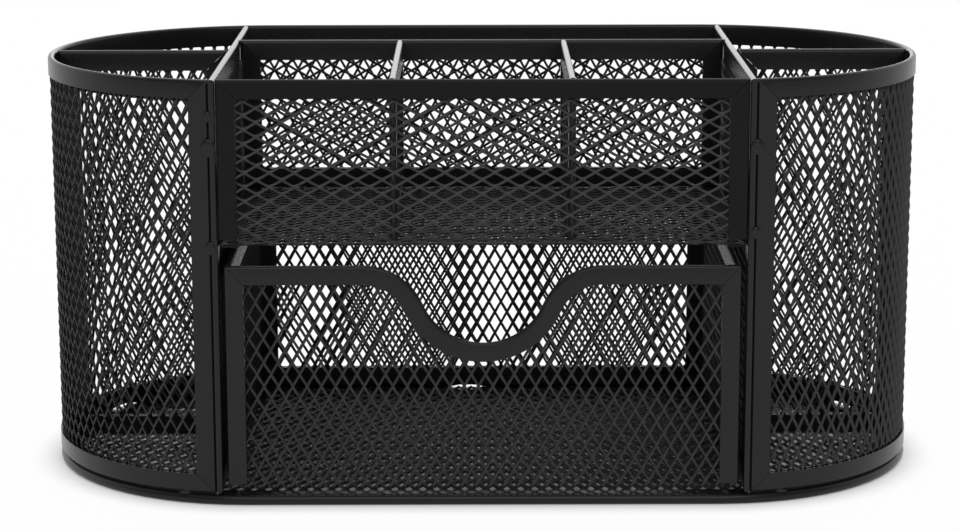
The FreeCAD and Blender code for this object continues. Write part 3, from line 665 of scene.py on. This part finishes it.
low, high = drawer_strip_box
half_width = (high.x - low.x) / 2
strip_rise = high.z - low.z
crest = -NOTCH_RADIUS
dip = NOTCH_RADIUS - NOTCH_DEPTH
wave_spots = [(half_width, 0), (notch_reach, 0)]
wave_spots += arc_spots((notch_reach, crest), NOTCH_RADIUS, math.pi / 2, notch_turn)
wave_spots += arc_spots((0, dip), NOTCH_RADIUS, notch_turn - math.pi / 2, -2 * notch_turn)
wave_spots += arc_spots((-notch_reach, crest), NOTCH_RADIUS, math.pi / 2 - notch_turn, notch_turn)
wave_spots.append((-half_width, 0))
wave_strip = folded_strip("wave", path_length(wave_spots), STRIP_THICKNESS, pieces=WAVE_PIECES)
follow(wave_strip, wave_spots)
right_side = folded_strip("upright", strip_rise, STRIP_THICKNESS, (False, True))
left_side = folded_strip("upright", strip_rise, STRIP_THICKNESS, (True, False))
place_strip(right_side, (half_width, -strip_rise), 1)
place_strip(left_side, (-half_width, 0), 3)
drawer_front = joined("drawer_front_edging", [wave_strip, right_side, left_side])
settle(drawer_front, X, Z, Vector((0, (low.y + high.y) / 2, high.z)))
smooth(drawer_front, math.radians(40))
finish(drawer_front, strip_coat, "edge_strip", "drawer", "drawer_front_strip")
for panel in ("left_drawer_side", "right_drawer_side", "drawer_back"):
    framed_panel(panel, "drawer")


# Studio. A plain pale floor that keeps the stand's shadow, a white world, soft lamps above, behind
# and in front, and a long lens at the photograph's height.

bpy.ops.object.select_all(action="DESELECT")
bpy.ops.mesh.primitive_plane_add(size=8)
ground = added("studio_floor")
paper = bpy.data.materials.new("white_paper")
paper.use_nodes = True
tree = paper.node_tree
tree.nodes.clear()
matt = add_node(tree, "ShaderNodeBsdfDiffuse", {"Color": linear("#f4f4f4")})
bright = add_node(tree, "ShaderNodeEmission", {"Strength": 1.0})


def shown_rays(tree):
    """One for rays of the camera and of reflections and clear materials, and zero for soft light."""
    seen = add_node(tree, "ShaderNodeLightPath")
    shown = seen.outputs["Is Camera Ray"]
    for kind in ("Is Glossy Ray", "Is Transmission Ray"):
        both = add_node(tree, "ShaderNodeMath", links={0: shown, 1: seen.outputs[kind]}, operation="MAXIMUM")
        shown = both.outputs["Value"]
    return shown


# Under the stand the paper shows the real shade, and it turns to plain white all round it.
SHADE_INSET = 4 * MM
FADE_REACH = 8 * MM
WHITE_SHARE = 0.95
place = add_node(tree, "ShaderNodeTexCoord").outputs["Object"]
parts = add_node(tree, "ShaderNodeSeparateXYZ", links={"Vector": place})
side = add_node(tree, "ShaderNodeMath", links={0: parts.outputs["X"]}, operation="ABSOLUTE")
side = add_node(tree, "ShaderNodeMath", {1: end_centre}, {0: side.outputs["Value"]}, operation="SUBTRACT")
side = add_node(tree, "ShaderNodeMath", {1: 0.0}, {0: side.outputs["Value"]}, operation="MAXIMUM")
plan = add_node(tree, "ShaderNodeCombineXYZ", links={"X": side.outputs["Value"], "Y": parts.outputs["Y"]})
reach = add_node(tree, "ShaderNodeVectorMath", links={0: plan.outputs["Vector"]}, operation="LENGTH")
clear = add_node(
    tree, "ShaderNodeMapRange",
    {
        "From Min": end_radius - SHADE_INSET, "From Max": end_radius + FADE_REACH,
        "To Min": 0.0, "To Max": WHITE_SHARE,
    },
    {"Value": reach.outputs["Value"]}, interpolation_type="SMOOTHSTEP",
)
share = add_node(
    tree, "ShaderNodeMath", links={0: shown_rays(tree), 1: clear.outputs["Result"]}, operation="MULTIPLY",
)
mixed = add_node(
    tree, "ShaderNodeMixShader",
    links={"Fac": share.outputs["Value"], 1: matt.outputs["BSDF"], 2: bright.outputs["Emission"]},
)
add_node(tree, "ShaderNodeOutputMaterial", links={"Surface": mixed.outputs["Shader"]})
ground.data.materials.append(paper)

world = bpy.data.worlds.new("white_studio")
bpy.context.scene.world = world
world.use_nodes = True
tree = world.node_tree
tree.nodes.clear()
# Behind the stand hangs white paper, and reflections show a dim room on the camera's side. Soft light
# comes evenly from all round.
ROOM_SHARE = 0.22
SOFT_LIGHT = 0.7
way = add_node(tree, "ShaderNodeTexCoord").outputs["Generated"]
depth = add_node(tree, "ShaderNodeSeparateXYZ", links={"Vector": way}).outputs["Y"]
room = add_node(
    tree, "ShaderNodeMapRange", {"From Min": -0.5, "From Max": 0.3, "To Min": ROOM_SHARE, "To Max": 1.0},
    {"Value": depth}, interpolation_type="SMOOTHSTEP",
)
strength = add_node(
    tree, "ShaderNodeMapRange", {"To Min": SOFT_LIGHT},
    {"Value": shown_rays(tree), "To Max": room.outputs["Result"]},
).outputs["Result"]
white = add_node(tree, "ShaderNodeBackground", {"Color": (1, 1, 1, 1)}, {"Strength": strength})
add_node(tree, "ShaderNodeOutputWorld", links={"Surface": white.outputs["Background"]})


def lamp(name, size, power, at, aim):
    """A soft square lamp that points at a spot."""
    bpy.ops.object.light_add(type="AREA", location=at)
    light = bpy.context.active_object
    light.name = name
    light.data.size = size
    light.data.energy = power
    light.rotation_euler = (Vector(aim) - Vector(at)).to_track_quat("-Z", "Y").to_euler()


lamp("top_lamp", 1.0, 4.5, (0.0, 0.45, 1.15), (0, 0, 0.05))
lamp("back_lamp", 0.6, 1.3, (0.0, 1.2, 0.42), (0, 0, 0.08))
lamp("front_lamp", 0.9, 4.0, (0.06, -0.95, 0.75), (0, 0, 0.05))

# The camera was fitted to the photograph's edges: its distance, height and lens in real sizes.
CAMERA_AT = Vector((-1.71, -649.5, 187.4)) * MM
CAMERA_PITCH = math.radians(12.24)
CAMERA_YAW = math.radians(0.10)
CAMERA_ROLL = math.radians(-0.11)
bpy.ops.object.camera_add(location=CAMERA_AT)
camera = bpy.context.active_object
look = Matrix.Rotation(-CAMERA_YAW, 4, "Z") @ Matrix.Rotation(math.pi / 2 - CAMERA_PITCH, 4, "X")
camera.matrix_world = Matrix.Translation(CAMERA_AT) @ look @ Matrix.Rotation(CAMERA_ROLL, 4, "Z")
camera.data.sensor_width = 36
camera.data.lens = 100.79
camera.data.clip_start = 0.01
bpy.context.scene.camera = camera
bpy.context.scene.view_settings.view_transform = "Standard"
